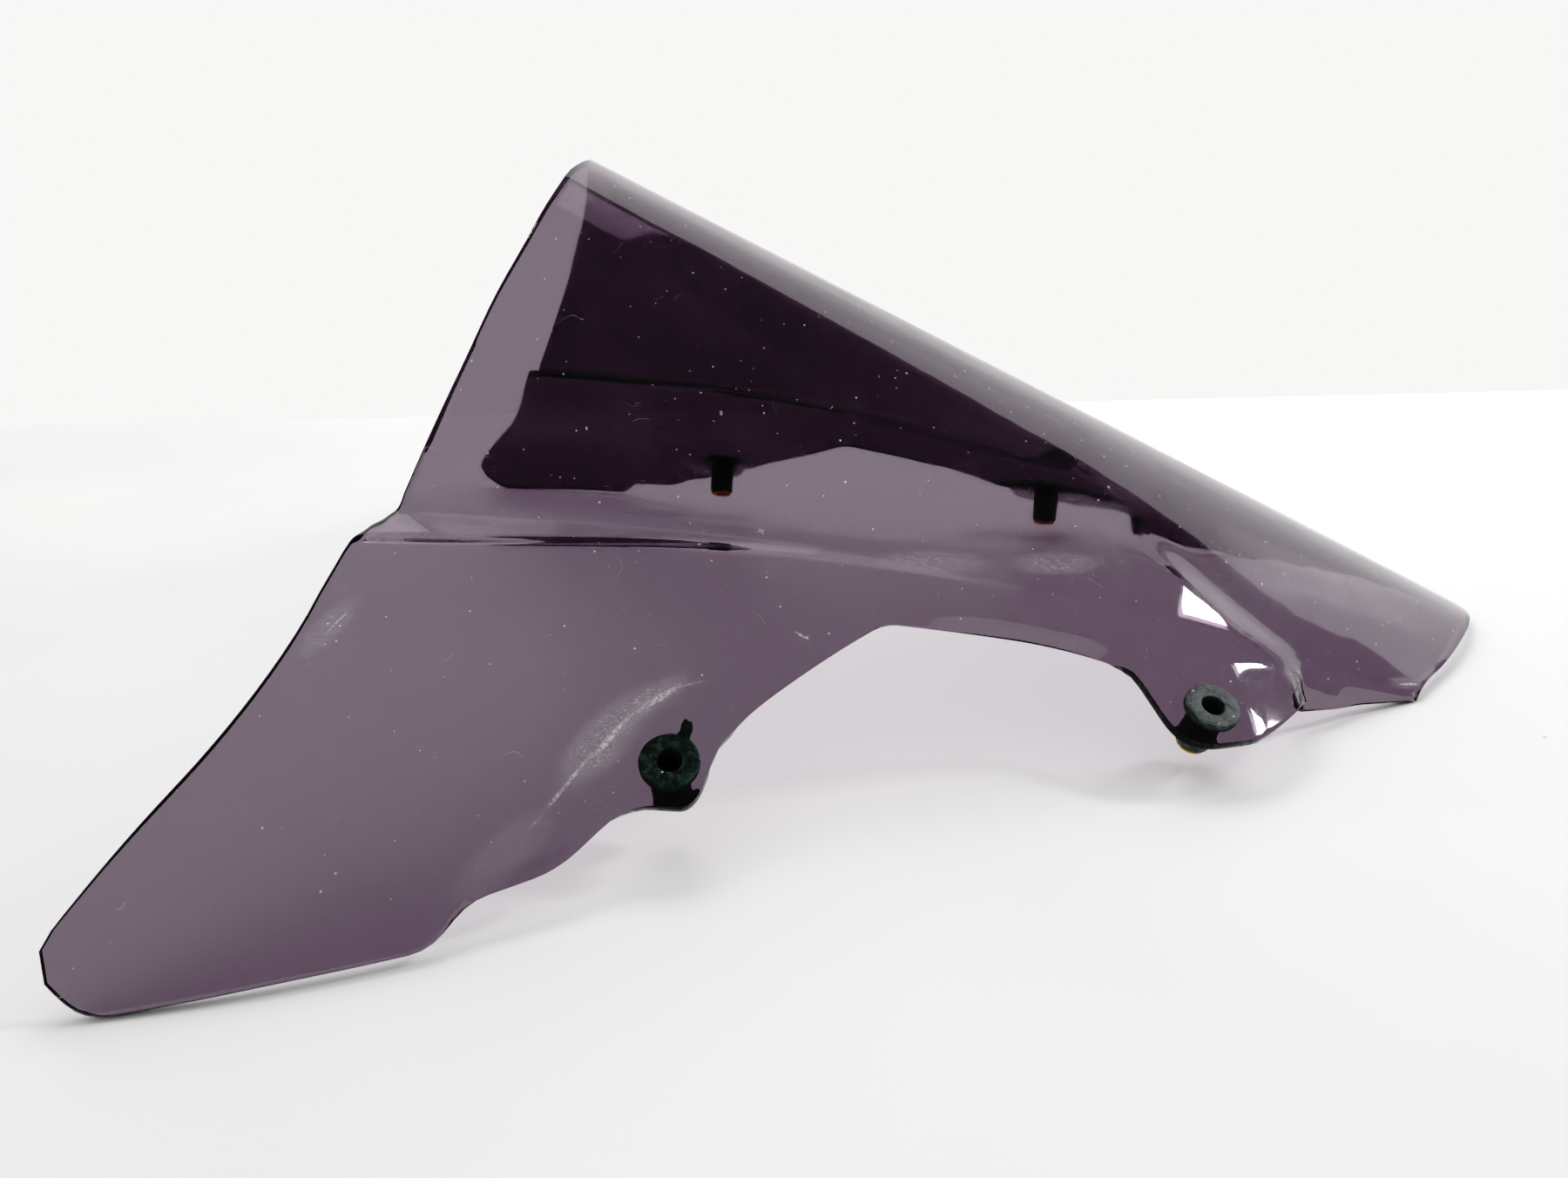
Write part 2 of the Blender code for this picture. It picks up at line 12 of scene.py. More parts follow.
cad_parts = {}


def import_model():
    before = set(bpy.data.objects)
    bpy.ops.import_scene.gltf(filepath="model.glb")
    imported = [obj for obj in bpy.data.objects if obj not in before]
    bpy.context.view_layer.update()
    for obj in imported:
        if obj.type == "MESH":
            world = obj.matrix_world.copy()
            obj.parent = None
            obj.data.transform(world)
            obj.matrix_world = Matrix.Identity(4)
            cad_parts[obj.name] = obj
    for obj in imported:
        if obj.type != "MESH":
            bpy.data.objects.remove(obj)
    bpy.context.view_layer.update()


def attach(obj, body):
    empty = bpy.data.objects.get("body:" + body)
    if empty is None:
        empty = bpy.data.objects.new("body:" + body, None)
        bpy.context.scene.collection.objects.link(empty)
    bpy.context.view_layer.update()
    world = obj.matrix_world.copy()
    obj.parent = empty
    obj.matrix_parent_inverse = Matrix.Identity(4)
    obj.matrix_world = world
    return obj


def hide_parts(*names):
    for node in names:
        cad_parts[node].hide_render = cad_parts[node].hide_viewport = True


MM = 0.001

# ---- sheet -----------------------------------------------------------------------------
# Added to every point, so that the screen stands on z = 0 centred on the origin.
STAND = np.array([1.04, 0, 1.12])
SHEET_THICKNESS = 2.6

# ---- cross-sections of the outer face: one every 40 mm from x = -200 -------------------
FIRST_STATION = -200.0
STATION_STEP = 40.0
# Each rail runs lengthways: half width, then height, at the eleven stations.
RAILS = {
    "ridge": (
        [0, 0, 0, 0, 0, 0, 0, 0, 0, 0, 0],
        [209.5, 188.3, 167.2, 146, 124.9, 103.8, 82.6, 61.5, 40.3, 19.2, -2],
    ),
    "crown": (
        [20, 20, 20, 20, 20, 20, 19, 17, 15, 13, 11],
        [206, 184.8, 163.8, 142.8, 122, 101.2, 80.4, 59.9, 39.2, 18.2, -2.9],
    ),
    "upper": (
        [40, 40, 40, 40, 39, 38, 35, 32, 27, 23, 19],
        [195, 174, 153.5, 133, 113, 93.5, 74.5, 55.5, 36, 15.6, -5],
    ),
    "flank": (
        [58, 58, 57.5, 57, 56, 54, 49, 45, 38, 32, 27],
        [176, 155, 136, 117.5, 100, 83, 66.5, 50, 31.5, 11.8, -8],
    ),
    "lower": (
        [73, 73, 73, 72, 71, 68, 61, 55, 47, 39, 33],
        [152, 134, 116.5, 100, 85.5, 71.5, 58.5, 45, 27, 8.2, -11.5],
    ),
    "steep": (
        [84, 84, 84, 83, 82, 78, 69, 62, 54, 45, 38],
        [125, 110, 95, 83.5, 73, 62.5, 52.5, 41.5, 22.5, 4.5, -15],
    ),
    "foot": (
        [95, 94, 93.5, 91, 88, 84, 75, 69, 60, 50, 42],
        [80, 77, 73.5, 69.5, 64, 56, 47.5, 37.5, 18.5, 1.2, -18],
    ),
    "brow": (
        [112, 110, 106, 99, 93.5, 89.5, 84.5, 79, 70, 57, 48],
        [76, 73.5, 70.5, 67, 61.5, 52.5, 41.5, 31.5, 10.5, -2, -21],
    ),
    "cheek": (
        [122, 118, 112.5, 104, 97.5, 91.5, 87.5, 83, 71.8, 58.8, 50],
        [67, 64.5, 64.5, 61.5, 56.5, 48, 37, 27.5, 8, -3.6, -23],
    ),
    "panel": (
        [138, 132, 123, 112, 100.5, 92.5, 89.3, 85.5, 72.2, 60, 51],
        [53, 51, 55, 53, 50, 43.5, 33, 24.5, 5, -6.5, -26],
    ),
    "apron": (
        [156, 150, 138, 122, 104.5, 92.5, 89.7, 86.5, 72.4, 60.5, 51.5],
        [42, 41, 44, 43, 42.5, 38.5, 29, 21.5, 2, -10, -29],
    ),
    "fold": (
        [177, 171, 154, 134, 109.5, 92.8, 90, 87.5, 72.5, 61, 52],
        [30, 28, 31.5, 31, 34, 32.5, 24.5, 17.5, -2, -15, -33],
    ),
    "hem": (
        [191, 185, 169, 147, 115.5, 93.5, 90.5, 88.5, 72.7, 61.3, 52.3],
        [10, 9, 15, 18, 24, 25.5, 19, 12.5, -6, -19, -37],
    ),
    "skirt": (
        [197, 191.5, 178, 158, 124, 95.5, 91, 89.5, 73, 61.6, 52.6],
        [-10, -9, -3, 4, 13, 18, 13, 6, -11, -24, -42],
    ),
}
RAIL_NAMES = list(RAILS)
RAIL_NET = np.array([RAILS[name] for name in RAIL_NAMES], float)
# How far each bend of the ledge is eased to either side, at the same stations.
EASING = {
    "foot": np.array([3, 3, 3, 3.5, 5, 9, 12, 14, 12, 10, 8], float),
    "brow": np.array([2.5, 2.5, 2.5, 3, 4.5, 7, 7, 5, 2.5, 2.5, 2.5], float),
}
EASING_MOST = 0.45
LAST_ROW = len(RAIL_NAMES) + 2 * len(EASING) - 1

# ---- local shapes ----------------------------------------------------------------------
# The front tab flares outwards below a crease, the rear lobe below a soft line.
TAB_FLARE = 1.9
TAB_EASE = 1.2
TAB_SPAN = (40, 50, 96, 101)
TAB_CREASE_X = [40, 50, 78, 104]
TAB_CREASE_Z = [26, 24.5, 22.5, 16.5]
LOBE_FLARE = 1.5
LOBE_EASE = 3.0
LOBE_SPAN = (-84, -58, -57, -46)
LOBE_TOP = 27.0
# A joggle sets the rear mounting flange in from the wing.
JOGGLE_DEPTH = 1.6
JOGGLE_WIDTH = 4.0
JOGGLE_X = [-118, -113, -102, -92, -85, -77, -67, -50]
JOGGLE_Z = [4, 12, 21, 27.6, 32, 35.5, 37, 36]
JOGGLE_SPAN = (-119, -110, -66, -48)
# The cheek stands proud of the nose up to a slanting edge.
CHEEK_HEIGHT = 1.8
CHEEK_WIDTH = 7.0
CHEEK_START = (66.6, 49.7)
CHEEK_ALONG = (0.773, -0.635)
CHEEK_FADE_X = (5, 50)
CHEEK_FADE_ALONG = (-10, 8)

# ---- outline ---------------------------------------------------------------------------
# Top of the rear rim in plan: x and half width.
CROWN_X = [-100, -100.3, -101.2, -102.5, -104.4, -107.5, -111, -114.9, -119]
CROWN_W = [0, 7, 14, 21, 32.3, 43.7, 53.5, 61.7, 69.5]
# The rest in side view: x, z and the easing of each corner.
RIM = [
    (-121.6, 114, 0),
    (-124.5, 108, 10),
    (-132.7, 91.9, 10),
    (-139.3, 78.7, 3),
    (-140.8, 74.6, 2),
    (-147.4, 73.1, 2.5),
    (-150.1, 68.8, 3),
    (-158.2, 53.3, 8),
    (-167.2, 41, 12),
    (-180.5, 28.4, 14),
    (-195.6, 11, 7),
    (-184.5, -0.3, 5),
]
HEM = [
    (-147.8, 1.4, 8),
    (-120, 1.7, 4),
    (-112.3, 8.8, 4),
    (-94.5, 10.4, 5),
    (-80.5, 18.4, 6),
    (-64.5, 19.2, 6),
    (-59.4, 26, 3),
    (-46, 31.2, 10),
    (-17.5, 41.9, 3.5),
    (28, 31.3, 12),
    (49.6, 23.5, 2.5),
    (56.5, 13.4, 6),
    (64, 11.4, 6),
    (80, 10.8, 4),
    (86.5, 11.2, 4),
    (95.0, 12.0, 2),
    (99.0, 13.0, 1),
    (100.2, 5.2, 1),
]
# Front edge of the nose in plan: x and half width.
NOSE_X = [143.9, 151.5, 159.5, 169, 178.3, 184.5, 188.5, 190.7, 191.4]
NOSE_W = [64.6, 56, 48, 37.6, 26, 17, 10, 4.5, 0]
PLAN_STEPS = 6

# ---- mesh of the loft ------------------------------------------------------------------
SIDE_PULL = 5

# ---- well nuts: a rubber body with a flange, and a brass nut in its far end -------------
# Each seat: x and z on the loft, and which way it faces on the left-hand side.
NUT_REAR = ((-70.9, 24.7), (0.06, 0.54, 0.84))
NUT_FRONT = ((67.3, 15.9), (0.13, 0.44, 0.89))
FLANGE_RADIUS = 7.25
FLANGE_THICKNESS = 2.2
FLANGE_ROUND = 0.6
BODY_RADIUS = 4.8
BODY_LENGTH = 13.0
BODY_ROUND = 0.8
BORE_RADIUS = 2.9
BORE_ROUND = 0.5
SOCKET_RADIUS = 3.6
SOCKET_DEPTH = 9.8
INSERT_RADIUS = 3.3
INSERT_BORE = 2.1
INSERT_RIM_RADIUS = 4.2
INSERT_RIM = 0.9
INSERT_CHAMFER = 0.35
GAP = 0.3
SEAT_FLAT = 9.0
SEAT_BLEND = 16.0
SEAT_CLEARANCE = 8.0
HOLE_RADIUS = BODY_RADIUS + GAP


def basis(t):
    """Weights of the four control points round a place t of the way along a cubic B-spline."""
    first = (1 - t) ** 3 / 6
    second = (3 * t**3 - 6 * t**2 + 4) / 6
    third = (-3 * t**3 + 3 * t**2 + 3 * t + 1) / 6
    return np.stack([first, second, third, t**3 / 6], -1)


def spline(control, place):
    """A B-spline over the last axis of control, at places counted in control points."""
    before = 2 * control[..., :1] - control[..., 1:2]
    after = 2 * control[..., -1:] - control[..., -2:-1]
    padded = np.concatenate([before, control, after], -1)
    place = np.clip(place, 0, control.shape[-1] - 1 - 1e-9)
    whole = np.floor(place).astype(int)
    weight = basis(place - whole)
    return sum(padded[..., whole + k] * weight[..., k] for k in range(4))


def eased(points, k, reach):
    """Control point k with one more on either side of it, which rounds the bend."""
    before = points[:, k - 1] - points[:, k]
    after = points[:, k + 1] - points[:, k]
    run_before = np.linalg.norm(before, axis=1, keepdims=True)
    run_after = np.linalg.norm(after, axis=1, keepdims=True)
    near = points[:, k] + before / run_before * np.minimum(reach, EASING_MOST * run_before)
    far = points[:, k] + after / run_after * np.minimum(reach, EASING_MOST * run_after)
    return [near, points[:, k], far]


def section(x):
    """Control points (half width, height) of the cross-section at each x."""
    place = (x - FIRST_STATION) / STATION_STEP
    points = np.moveaxis(spline(RAIL_NET, place), -1, 0)
    rows = []
    for k, name in enumerate(RAIL_NAMES):
        if name in EASING:
            rows += eased(points, k, spline(EASING[name], place)[:, None])
        else:
            rows.append(points[:, k])
    return np.stack(rows, 1)


def smooth_loft(x, row):
    """The loft before its local shapes: (x, half width, z) at each x and row."""
    control = section(x)
    mirrored = control[:, 1:2] * np.array([-1, 1])
    last = 2 * control[:, -1:] - control[:, -2:-1]
    padded = np.concatenate([mirrored, control, last], 1)
    row = np.clip(row, 0, LAST_ROW - 1e-9)
    whole = np.floor(row).astype(int)
    weight = basis(row - whole)
    each = np.arange(len(x))
    flat = sum(padded[each, whole + k] * weight[:, k : k + 1] for k in range(4))
    return np.column_stack([x, flat])


def ramp(start, end, value):
    t = np.clip((value - start) / (end - start), 0, 1)
    return t * t * (3 - 2 * t)


def window(span, value):
    """Rises over the first two numbers of span and falls over the last two."""
    return ramp(span[0], span[1], value) * (1 - ramp(span[2], span[3], value))


def soft_positive(value, ease):
    return 0.5 * (value + np.sqrt(value**2 + ease**2))


def raised(points):
    """How far the outer face stands off the smooth loft at each point."""
    x, z = points[:, 0], points[:, 2]
    below = np.interp(x, JOGGLE_X, JOGGLE_Z) - z
    joggle = ramp(-JOGGLE_WIDTH / 2, JOGGLE_WIDTH / 2, below) * window(JOGGLE_SPAN, x)
    dx, dz = x - CHEEK_START[0], z - CHEEK_START[1]
    along = dx * CHEEK_ALONG[0] + dz * CHEEK_ALONG[1]
    across = dx * CHEEK_ALONG[1] - dz * CHEEK_ALONG[0]
    cheek = ramp(0, CHEEK_WIDTH, across) * ramp(*CHEEK_FADE_ALONG, along)
    return CHEEK_HEIGHT * cheek * ramp(*CHEEK_FADE_X, x) - JOGGLE_DEPTH * joggle


def flared(points):
    """The tab and the lobe lean outwards below their creases."""
    x, z = points[:, 0], points[:, 2]
    below = np.interp(x, TAB_CREASE_X, TAB_CREASE_Z) - z
    points[:, 1] += TAB_FLARE * window(TAB_SPAN, x) * soft_positive(below, TAB_EASE)
    below = LOBE_TOP - z
    points[:, 1] += LOBE_FLARE * window(LOBE_SPAN, x) * soft_positive(below, LOBE_EASE)
    return points


def normals_at(x, row):
    """Unit normals of the flared loft, out of the shell."""
    nudge_x, nudge_row = 0.05, 0.01
    here = flared(smooth_loft(x, row))
    ahead = flared(smooth_loft(x + nudge_x, row)) - here
    lower = row + np.where(row < 1, nudge_row, -nudge_row)
    down = (flared(smooth_loft(x, lower)) - here) * np.where(row < 1, 1, -1)[:, None]
    normal = np.cross(ahead, down)
    return normal / np.linalg.norm(normal, axis=1, keepdims=True)


def outer_face(x, row):
    """The outer face as (x, half width, z), with its local shapes but before the nut seats."""
    points = flared(smooth_loft(x, row))
    moved = points + normals_at(x, row) * raised(points)[:, None]
    moved[row < 1e-6, 1] = 0
    return moved


def row_at(x, wanted, axis):
    """The row where the smooth loft has the wanted half width (axis 1) or height (axis 2)."""
    low, high = np.zeros(len(x)), np.full(len(x), float(LAST_ROW))
    for _ in range(40):
        middle = (low + high) / 2
        value = smooth_loft(x, middle)[:, axis]
        above = value > wanted if axis == 2 else value < wanted
        low = np.where(above, middle, low)
        high = np.where(above, high, middle)
    return (low + high) / 2


def rounded(corners, spacing, most):
    """A run of corners (x, z, easing), each rounded by up to most + 1 points spacing apart."""
    points = []
    for i, (x, z, ease) in enumerate(corners):
        here = np.array([x, z], float)
        if ease == 0:
            points.append(here)
            continue
        before = np.array(corners[i - 1][:2]) - here
        after = np.array(corners[i + 1][:2]) - here
        reach = min(ease, 0.49 * np.linalg.norm(before), 0.49 * np.linalg.norm(after))
        start = here + before / np.linalg.norm(before) * reach
        end = here + after / np.linalg.norm(after) * reach
        steps = int(np.clip(round(ease / spacing), 1, most))
        for t in np.linspace(0, 1, steps + 1):
            points.append((1 - t) ** 2 * start + 2 * t * (1 - t) * here + t * t * end)
    return np.array(points)


def filled(points, longest):
    """The same run of points with no step longer than longest."""
    out = [points[0]]
    for start, end in zip(points[:-1], points[1:]):
        count = max(1, int(np.ceil(np.linalg.norm(end - start) / longest)))
        out += [start + (end - start) * k / count for k in range(1, count + 1)]
    return np.array(out)


def along(points, share):
    """Points at the given shares of the length of a run."""
    run = np.concatenate([[0], np.cumsum(np.linalg.norm(np.diff(points, axis=0), axis=1))])
    return np.column_stack([np.interp(np.asarray(share) * run[-1], run, p) for p in points.T])


def swept(xs, widths):
    """A smooth run through plan points (x, half width), square to the middle plane there."""
    points = np.column_stack([xs, widths]).astype(float)
    if widths[0] == 0:
        return swept(xs[::-1], widths[::-1])[::-1]
    before = 2 * points[0] - points[1]
    after = points[-2] * np.array([1, -1])
    padded = np.vstack([before, points, after])
    run = []
    for a, b, c, d in zip(padded[:-3], padded[1:-2], padded[2:-1], padded[3:]):
        for t in np.arange(PLAN_STEPS) / PLAN_STEPS:
            bend = (2 * a - 5 * b + 4 * c - d) * t * t + (3 * b - a - 3 * c + d) * t**3
            run.append(b + 0.5 * ((c - a) * t + bend))
    return np.array(run + [points[-1]])


def outline(spacing, most, longest):
    """Rear rim, hem and nose edge, each as (x, row) on the smooth loft."""
    crown, nose = swept(CROWN_X, CROWN_W), swept(NOSE_X, NOSE_W)
    nose_row = row_at(nose[:, 0], nose[:, 1], 1)
    corner_z = smooth_loft(nose[:1, 0], nose_row[:1])[0, 2]
    ring = rounded(RIM + HEM + [(NOSE_X[0], corner_z, 0)], spacing, most)
    split = int(np.argmin(np.hypot(ring[:, 0] - RIM[-1][0], ring[:, 1] - RIM[-1][1])))
    rim, hem = ring[: split + 1], filled(ring[split:], longest)
    rim_run = np.column_stack([rim[:, 0], row_at(rim[:, 0], rim[:, 1], 2)])
    crown_row = row_at(crown[:, 0], crown[:, 1], 1)
    rim_run = np.vstack([np.column_stack([crown[:, 0], crown_row]), rim_run])
    hem_run = np.column_stack([hem[:, 0], row_at(hem[:, 0], hem[:, 1], 2)])
    rim_run[0, 1] = 0
    nose_run = np.column_stack([nose[:, 0], nose_row])[::-1]
    nose_run[0, 1] = 0
    nose_run[-1] = hem_run[-1]
    return rim_run, hem_run, nose_run


def loft_grid(upper_rows, lower_shares, spacing, most, longest):
    """(x, row) of every vertex of the half shell: rows from ridge to hem, columns rear to nose."""
    rim, hem, nose = outline(spacing, most, longest)
    step_x = np.diff(hem[:, 0])
    step = np.maximum(step_x, 0.35 * np.hypot(step_x, 4 * np.diff(hem[:, 1])))
    share = np.concatenate([[0], np.cumsum(step)]) / step.sum()
    grid = []
    for row in upper_rows:
        start, end = np.interp(row, rim[:, 1], rim[:, 0]), np.interp(row, nose[:, 1], nose[:, 0])
        grid.append(np.column_stack([start + (end - start) * share, np.full(len(share), row)]))
    top = grid[-1]
    left_run = np.vstack([top[:1], rim[rim[:, 1] > upper_rows[-1]]])
    right_run = np.vstack([top[-1:], nose[nose[:, 1] > upper_rows[-1]]])
    rear_pull = ((1 - share) ** SIDE_PULL)[:, None]
    front_pull = (share**SIDE_PULL)[:, None]
    for v in lower_shares:
        down = (1 - v) * top + v * hem
        rear_shift = along(left_run, [v])[0] - down[0]
        front_shift = along(right_run, [v])[0] - down[-1]
        grid.append(down + rear_pull * rear_shift + front_pull * front_shift)
    return np.array(grid)


def nut_axis(seat, side):
    """Centre of a nut's seat on the outer face and the unit normal out of it."""
    (x, z), facing = seat
    row = row_at(np.array([float(x)]), float(z), 2)
    centre = outer_face(np.array([float(x)]), row)[0]
    flip = np.array([1, side, 1])
    return centre * flip, np.array(facing) / np.linalg.norm(facing) * flip


def seated(points):
    """The outer face pressed flat under the flange of each nut."""
    for seat in (NUT_REAR, NUT_FRONT):
        centre, normal = nut_axis(seat, 1)
        off = (points - centre) @ normal
        radius = np.linalg.norm(points - centre - off[:, None] * normal, axis=1)
        flat = 1 - ramp(SEAT_FLAT, SEAT_BLEND, radius)
        near = np.linalg.norm(points - centre, axis=1) < 1.5 * SEAT_BLEND
        points = points - (off * flat * near)[:, None] * normal
    return points


def half_shell(upper_rows, lower_shares, spacing, most, longest):
    """Vertices in metres on the right-hand side (-Y) and quads that face outwards."""
    grid = loft_grid(upper_rows, lower_shares, spacing, most, longest)
    rows, columns = grid.shape[:2]
    flat = grid.reshape(-1, 2)
    points = seated(outer_face(flat[:, 0], flat[:, 1]))
    points[flat[:, 1] < 1e-6, 1] = 0
    points = (points * np.array([1, -1, 1]) + STAND) * MM
    quads = []
    for r in range(rows - 1):
        for c in range(columns - 1):
            a = r * columns + c
            quads.append((a, a + columns, a + columns + 1, a + 1))
    return points, quads


# ---- fine grid -------------------------------------------------------------------------
FINE_UPPER = np.concatenate([np.linspace(0, 8, 33), np.linspace(8.2, 11.2, 19)])
FINE_LOWER = np.linspace(0, 1, 29)[1:]
FINE_SPACING = 1.2
FINE_MOST = 6
FINE_STEP = 4.0
FINE_TURN = 72
FINE_MERGE = 0.00002
EDGE_ROUND = 0.5
EDGE_ANGLE = 65
SMOOTH_ANGLE = 38
THREAD_PITCH = 0.8
THREAD_DEPTH = 0.32

# ---- camera and studio -----------------------------------------------------------------
CAMERA_AT = (-0.0403, -0.380, 0.1624)
CAMERA_RIGHT = (0.99973, -0.00138, -0.02339)
CAMERA_UP = (0.02232, 0.35995, 0.93270)
CAMERA_BACK = (0.00713, -0.93297, 0.35988)
CAMERA_LENS = 27.06
TABLE_BACK = 0.36
TABLE_REACH = 1.6
WALL_AT = 0.8
WALL_TOP_LEFT = 1.12
WALL_TOP_RIGHT = 0.95
WALL_REACH = 2.6
WALL_GLOW = 0.93
# Each lamp: where it hangs, what it faces, its size and its power.
KEY_LAMP = ((-0.10, 0.62, 1.15), (0, 0, 0), (0.9, 0.6), 5.5)
SIDE_LAMP = ((0.98, 0.15, 0.776), (0.065, -0.08, 0.037), (0.24, 0.19), 4.0)
# Shown tone for each light level: red and blue, and green, so that the darkest parts stay neutral.
TONES = [(0.03, 0.003), (0.065, 0.009), (0.10, 0.040), (0.15, 0.115), (0.22, 0.205), (0.32, 0.32)]
GREEN_TONES = [
    (0.027, 0.003),
    (0.059, 0.009),
    (0.092, 0.039),
    (0.14, 0.111),
    (0.21, 0.198),
    (0.32, 0.32),
]
WORLD_SEEN = 0.88
WORLD_FILL = 0.62
WORLD_MIRRORED = 0.04
HALF_TINT = (0.505, 0.455, 0.505)
# The room's light gets in under the shell from all round, so its shadow is this much fainter.
LAMP_TINT = 0.26
FLAP_TURN = 62
GLOSS_ROUGHNESS = 0.035
REFRACTION = 1.49
BRASS_BRIGHT = (0.72, 0.48, 0.18, 1)
BRASS_DULL = (0.36, 0.23, 0.09, 1)
TABLE_CLEAN = (0.90, 0.90, 0.895, 1)
TABLE_WORN = (0.87, 0.875, 0.875, 1)

# ---- wear on the shell: from, to (mm), half width (mm), how strong ------------------------
SCUFFS = [
    ((-16, -90, 58), (12, -83, 54), 4.5, 0.55),
    ((20, -81, 53), (44, -73, 50), 4.5, 0.60),
    ((-92, -143, 27), (-76, -127, 37), 7.0, 0.75),
    ((-78, -130, 36), (-68, -121, 39), 4.0, 0.70),
    ((-153, -131, 54), (-145, -121, 61), 4.0, 0.55),
    ((136, -65, 7), (148, -60, 4), 2.5, 0.60),
    ((-112, -166, 12), (-98, -152, 20), 6.0, 0.30),
]
SCRATCHES = [
    ((-105, -159, 15), (-86, -137, 31), 0.8, 0.75),
    ((-90, -141, 27), (-77, -128, 36), 1.1, 1.00),
    ((-80, -131, 34), (-68, -122, 38.5), 1.2, 1.00),
    ((-84, -134, 34), (-72, -124, 39.5), 0.5, 0.90),
    ((-70, -123, 38.4), (-58, -118, 38.3), 0.7, 0.60),
    ((-42, -105.5, 46.5), (-35, -104.5, 41), 0.45, 0.90),
    ((-40, -105, 42), (-35, -104.5, 43.5), 0.40, 0.90),
    ((-150, -128, 56), (-145, -122, 60), 0.5, 0.60),
    ((138, -64.5, 6), (147, -60.5, 4), 0.6, 0.85),
    ((95, -83, 20), (118, -72, 13.5), 0.6, 0.70),
]


def socket_or_value(tree, target, source):
    """Links a socket into target, or sets target to a plain number or colour."""
    if isinstance(source, bpy.types.NodeSocket):
        tree.links.new(source, target)
    else:
        target.default_value = source


def maths(tree, operation, first, second=0.0, third=0.0):
    node = tree.nodes.new("ShaderNodeMath")
    node.operation = operation
    for target, source in zip(node.inputs, (first, second, third)):
        socket_or_value(tree, target, source)
    return node.outputs[0]


def remapped(tree, value, low, high, to_low=0.0, to_high=1.0):
    node = tree.nodes.new("ShaderNodeMapRange")
    node.interpolation_type = "SMOOTHSTEP"
    socket_or_value(tree, node.inputs["Value"], value)
    node.inputs["From Min"].default_value = low
    node.inputs["From Max"].default_value = high
    node.inputs["To Min"].default_value = to_low
    node.inputs["To Max"].default_value = to_high
    return node.outputs["Result"]


def millimetres(tree, scale=(1, 1, 1), turn=(0, 0, 0), shift=(0, 0, 0)):
    """Object coordinates in millimetres, turned, stretched and shifted."""
    source = tree.nodes.new("ShaderNodeTexCoord")
    node = tree.nodes.new("ShaderNodeMapping")
    tree.links.new(source.outputs["Object"], node.inputs["Vector"])
    node.inputs["Scale"].default_value = [1000 * s for s in scale]
    node.inputs["Rotation"].default_value = turn
    node.inputs["Location"].default_value = shift
    return node.outputs[0]


def noise(tree, vector, scale, detail=2.0, roughness=0.5, distortion=0.0):
    node = tree.nodes.new("ShaderNodeTexNoise")
    tree.links.new(vector, node.inputs["Vector"])
    node.inputs["Scale"].default_value = scale
    node.inputs["Detail"].default_value = detail
    node.inputs["Roughness"].default_value = roughness
    node.inputs["Distortion"].default_value = distortion
    return node.outputs["Fac"]


def specks(tree, cell, radius, share, shift):
    """Round specks: one in share of the cells of a Voronoi pattern, cell millimetres apart."""
    node = tree.nodes.new("ShaderNodeTexVoronoi")
    tree.links.new(millimetres(tree, shift=shift), node.inputs["Vector"])
    node.inputs["Scale"].default_value = 1 / cell
    split = tree.nodes.new("ShaderNodeSeparateColor")
    tree.links.new(node.outputs["Color"], split.inputs[0])
    chosen = maths(tree, "LESS_THAN", split.outputs[0], share)
    size = maths(tree, "MULTIPLY_ADD", split.outputs[1], radius / cell, 0.3 * radius / cell)
    inside = maths(tree, "LESS_THAN", node.outputs["Distance"], size)
    return maths(tree, "MULTIPLY", chosen, inside)


def fibres(tree, size, width, share, shift):
    """Short hair-thin curved lines, where a smooth noise crosses its middle."""
    line = noise(tree, millimetres(tree, shift=shift), 1 / size, 0.0)
    off = maths(tree, "ABSOLUTE", maths(tree, "SUBTRACT", line, 0.5))
    where = noise(tree, millimetres(tree, shift=(-shift[1], shift[0], 7)), 1.1 / size, 0.0)
    thin = maths(tree, "LESS_THAN", off, width)
    return maths(tree, "MULTIPLY", thin, maths(tree, "GREATER_THAN", where, share))


def streaks(tree, turn, length, width, level, shift=(0, 0, 0)):
    """Fine parallel scratches of about the given length and width in millimetres."""
    vector = millimetres(tree, (1 / length, 1 / width, 1 / width), turn, shift)
    return remapped(tree, noise(tree, vector, 1.0, 3.0, 0.6), level, level + 0.07)


def stroke(tree, start, end, width):
    """1 along a line between two places on the shell, easing to 0 at width from it."""
    start, end = np.array(start, float), np.array(end, float)
    middle, half = (start + end) / 2, (end - start) / 2
    length = np.linalg.norm(half)
    source = tree.nodes.new("ShaderNodeTexCoord")
    local = tree.nodes.new("ShaderNodeVectorMath")
    local.operation = "MULTIPLY_ADD"
    tree.links.new(source.outputs["Object"], local.inputs[0])
    local.inputs[1].default_value = (1000, 1000, 1000)
    local.inputs[2].default_value = -middle
    run = tree.nodes.new("ShaderNodeVectorMath")
    run.operation = "DOT_PRODUCT"
    tree.links.new(local.outputs[0], run.inputs[0])
    run.inputs[1].default_value = half / length
    size = tree.nodes.new("ShaderNodeVectorMath")
    size.operation = "DOT_PRODUCT"
    tree.links.new(local.outputs[0], size.inputs[0])
    tree.links.new(local.outputs[0], size.inputs[1])
    run_squared = maths(tree, "POWER", maths(tree, "ABSOLUTE", run.outputs["Value"]), 2.0)
    off_squared = maths(tree, "SUBTRACT", size.outputs["Value"], run_squared)
    across = maths(tree, "MULTIPLY", off_squared, 1 / width**2)
    total = maths(tree, "MULTIPLY_ADD", run_squared, 1 / (length + width) ** 2, across)
    return remapped(tree, total, 0.1, 1.0, 1.0, 0.0)


